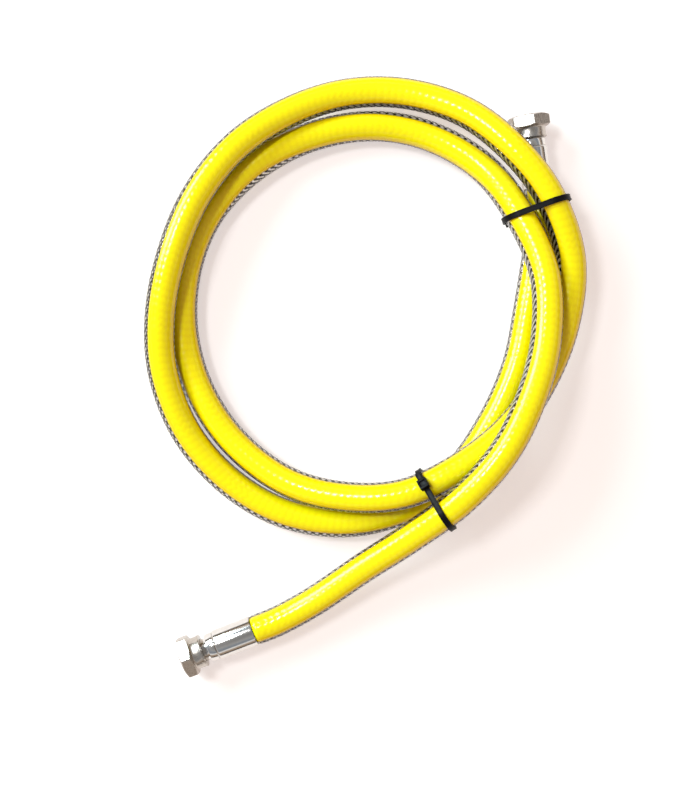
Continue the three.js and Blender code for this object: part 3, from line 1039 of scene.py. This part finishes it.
def strap_mesh(name, spots, closed):
    """A toothed strap through places, each a point and the way out from its inner side."""
    points, faces = [], []
    for index, (spot, out) in enumerate(spots):
        section = strap_section(TOOTH_DEPTH if index % 2 else 0.0)
        points += [(*(spot + out * height), width) for height, width in section]
    count = len(section)
    for index in range(len(spots) if closed else len(spots) - 1):
        for n in range(count):
            a, b = index * count + n, index * count + (n + 1) % count
            onward = count if index < len(spots) - 1 else -index * count
            faces.append((a, b, b + onward, a + onward))
    if not closed:
        faces.append(list(range(count)))
        faces.append([len(points) - 1 - n for n in range(count)])
    return mesh_from(name, points, faces)


def head_mesh(name):
    """The tie's locking head, with the window over its pawl."""
    length, height, width = HEAD_SIZE
    work = bmesh.new()
    bmesh.ops.create_cube(work, size=1.0)
    bmesh.ops.scale(work, vec=(length, height, width), verts=work.verts)
    bmesh.ops.translate(work, vec=(0, height / 2, 0), verts=work.verts)
    top = max(work.faces, key=lambda face: face.calc_center_median().y)
    bmesh.ops.inset_region(work, faces=[top], thickness=0.0013)
    for vertex in top.verts:
        vertex.co.x *= 0.7
    lowered = bmesh.ops.extrude_discrete_faces(work, faces=[top])["faces"]
    bmesh.ops.translate(work, vec=(0, -0.0012, 0), verts=lowered[0].verts)
    mesh = bpy.data.meshes.new(name)
    work.to_mesh(mesh)
    work.free()
    rounding = {"width": 0.00045, "segments": 3, "limit_method": "ANGLE"}
    return finished(name, mesh, [("BEVEL", rounding)])


def head_seat(loop, facing, share):
    """Where the head sits on the longest straight run of the strap that faces a given way."""
    runs = [(start, end - start) for start, end in zip(loop, loop[1:] + loop[:1])]
    way = Vector((-math.sin(facing), math.cos(facing)))
    start, run = max(runs, key=lambda pair: pair[1].dot(way))
    out = Vector((run.y, -run.x)).normalized()
    spot = start + run * share + out * (TIE_THICKNESS / 2)
    turn = Matrix.Rotation(math.atan2(run.y, run.x) + math.pi, 4, "Z")
    return Matrix.Translation((spot.x, spot.y, 0)) @ turn


def make_tie(node, along, facing, share):
    """Strap, head and loose tail of one tie."""
    matrix, strands = tie_frame(along)
    to_tie = matrix.inverted()
    coarse, fine = (strap_line(strands, to_tie, steps) for steps in (20, 72))
    loop = evenly(fine, TOOTH_PITCH)
    runs = [after - before for before, after in zip(loop[-1:] + loop[:-1], loop[1:] + loop[:1])]
    outs = [Vector((run.y, -run.x)).normalized() for run in runs]
    seat = matrix @ head_seat(coarse, math.radians(facing), share)
    steps = round(STUB_LENGTH / TOOTH_PITCH)
    lift = Vector((-STUB_RISE, STUB_LENGTH)).normalized()
    tail = []
    for n in range(steps):
        spot = Vector((STUB_LENGTH * n / steps, TIE_THICKNESS + STUB_RISE * n / steps))
        tail.append((spot, lift))
    parts = (
        ("strap", strap_mesh("strap", list(zip(loop, outs)), True), matrix),
        ("head", head_mesh("head"), seat),
        ("tail", strap_mesh("tail", tail, False), seat),
    )
    for part, mesh, where in parts:
        mesh.transform(where)
        mesh = smooth_by_angle(outward(mesh), 28)
        piece = place(f"{node}_{part}", mesh, nylon, "hose", smooth=False)
        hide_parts(node)


for tie in TIES:
    make_tie(*tie)


# Floor, world and lamps

FILL = (0.5, 0.31, 0.19)
FLOOR_HALF = 3.0
COIL_MIDDLE = Vector((0, 0, 0.02))

# The floor glows in part up to one distance from the middle, and fully beyond another
GLOW_SHARE = 0.38
GLOW_PART_TO = 0.35
GLOW_FULL_FROM = 1.1


def seen_directly(w):
    """1 where the background is seen, also in metal and through the clear jacket."""
    path = w.node("ShaderNodeLightPath").outputs
    mirrored = w.math("MAXIMUM", path["Is Glossy Ray"], path["Is Transmission Ray"])
    return w.math("MAXIMUM", path["Is Camera Ray"], mirrored)


def stage_material():
    """A white floor whose shadows show softly near the part and fade further out."""
    material, w, shader = new_material("pale_floor", (0.94, 0.94, 0.94), 0.75)
    glow = w.node("ShaderNodeEmission", Color=(1.45, 1.4, 1.43, 1), Strength=1.0)
    spread = w.vector("LENGTH", w.node("ShaderNodeTexCoord").outputs["Object"])
    share = ranged(w, spread, GLOW_PART_TO, GLOW_FULL_FROM, GLOW_SHARE, 1.0)
    mix = w.node("ShaderNodeMixShader", Fac=w.math("MULTIPLY", seen_directly(w), share))
    w.feed(mix.inputs[1], shader.outputs[0])
    w.feed(mix.inputs[2], glow.outputs[0])
    w.feed(material.node_tree.nodes["Material Output"].inputs["Surface"], mix.outputs[0])
    return material


def make_floor():
    near, far = -FLOOR_HALF, FLOOR_HALF
    corners = [(near, near, 0), (far, near, 0), (far, far, 0), (near, far, 0)]
    mesh = mesh_from("floor", corners, [(0, 1, 2, 3)])
    floor = bpy.data.objects.new("floor", mesh)
    bpy.context.collection.objects.link(floor)
    mesh.materials.append(stage_material())


def make_lamp(name, where, size, power, color):
    """A lamp with a rectangular face, aimed at the middle of the coil."""
    data = bpy.data.lights.new(name, "AREA")
    data.shape = "RECTANGLE"
    data.size, data.size_y = size
    data.energy = power
    data.color = color
    lamp = bpy.data.objects.new(name, data)
    bpy.context.collection.objects.link(lamp)
    lamp.location = where
    aim = COIL_MIDDLE - Vector(where)
    lamp.rotation_mode = "QUATERNION"
    lamp.rotation_quaternion = aim.to_track_quat("-Z", "Y")


# What metal mirrors, from the horizon to straight above: height, then colour
STUDIO_BANDS = [
    (0.0, (0.06, 0.05, 0.045)), (0.16, (0.07, 0.06, 0.05)), (0.24, (0.5, 0.38, 0.28)),
    (0.4, (0.4, 0.31, 0.25)), (0.47, (0.95, 0.93, 0.9)), (0.56, (0.9, 0.9, 0.9)),
    (0.62, (0.22, 0.25, 0.3)), (0.78, (0.3, 0.33, 0.37)), (0.87, (0.4, 0.4, 0.4)),
    (1.0, (0.25, 0.25, 0.25)),
]


def make_world():
    """White where the camera sees it, bands in what metal mirrors, and a warm fill elsewhere."""
    world = bpy.data.worlds.new("studio")
    bpy.context.scene.world = world
    world.use_nodes = True
    w = Wiring(world.node_tree)
    back = world.node_tree.nodes["Background"]
    spot = w.node("ShaderNodeSeparateXYZ", Vector=w.node("ShaderNodeTexCoord").outputs["Generated"])
    bands = w.node("ShaderNodeValToRGB", Fac=spot.outputs["Z"])
    stops = bands.color_ramp.elements
    while len(stops) < len(STUDIO_BANDS):
        stops.new(1.0)
    for stop, (height, color) in zip(stops, STUDIO_BANDS):
        stop.position = height
        stop.color = (*color, 1)
    path = w.node("ShaderNodeLightPath").outputs
    lighting = mixed(w, seen_directly(w), (*FILL, 1), bands.outputs[0])
    w.feed(back.inputs["Color"], mixed(w, path["Is Camera Ray"], lighting, (1, 1, 1, 1)))


make_floor()
make_world()
make_lamp("window", (-2.3, 1.5, 1.75), (1.9, 1.1), 100, (0.76, 0.95, 1.0))
make_lamp("overhead", (-1.1, 0.6, 2.3), (0.5, 0.5), 30, (0.95, 0.98, 1.0))

bpy.context.scene.view_settings.view_transform = "Standard"
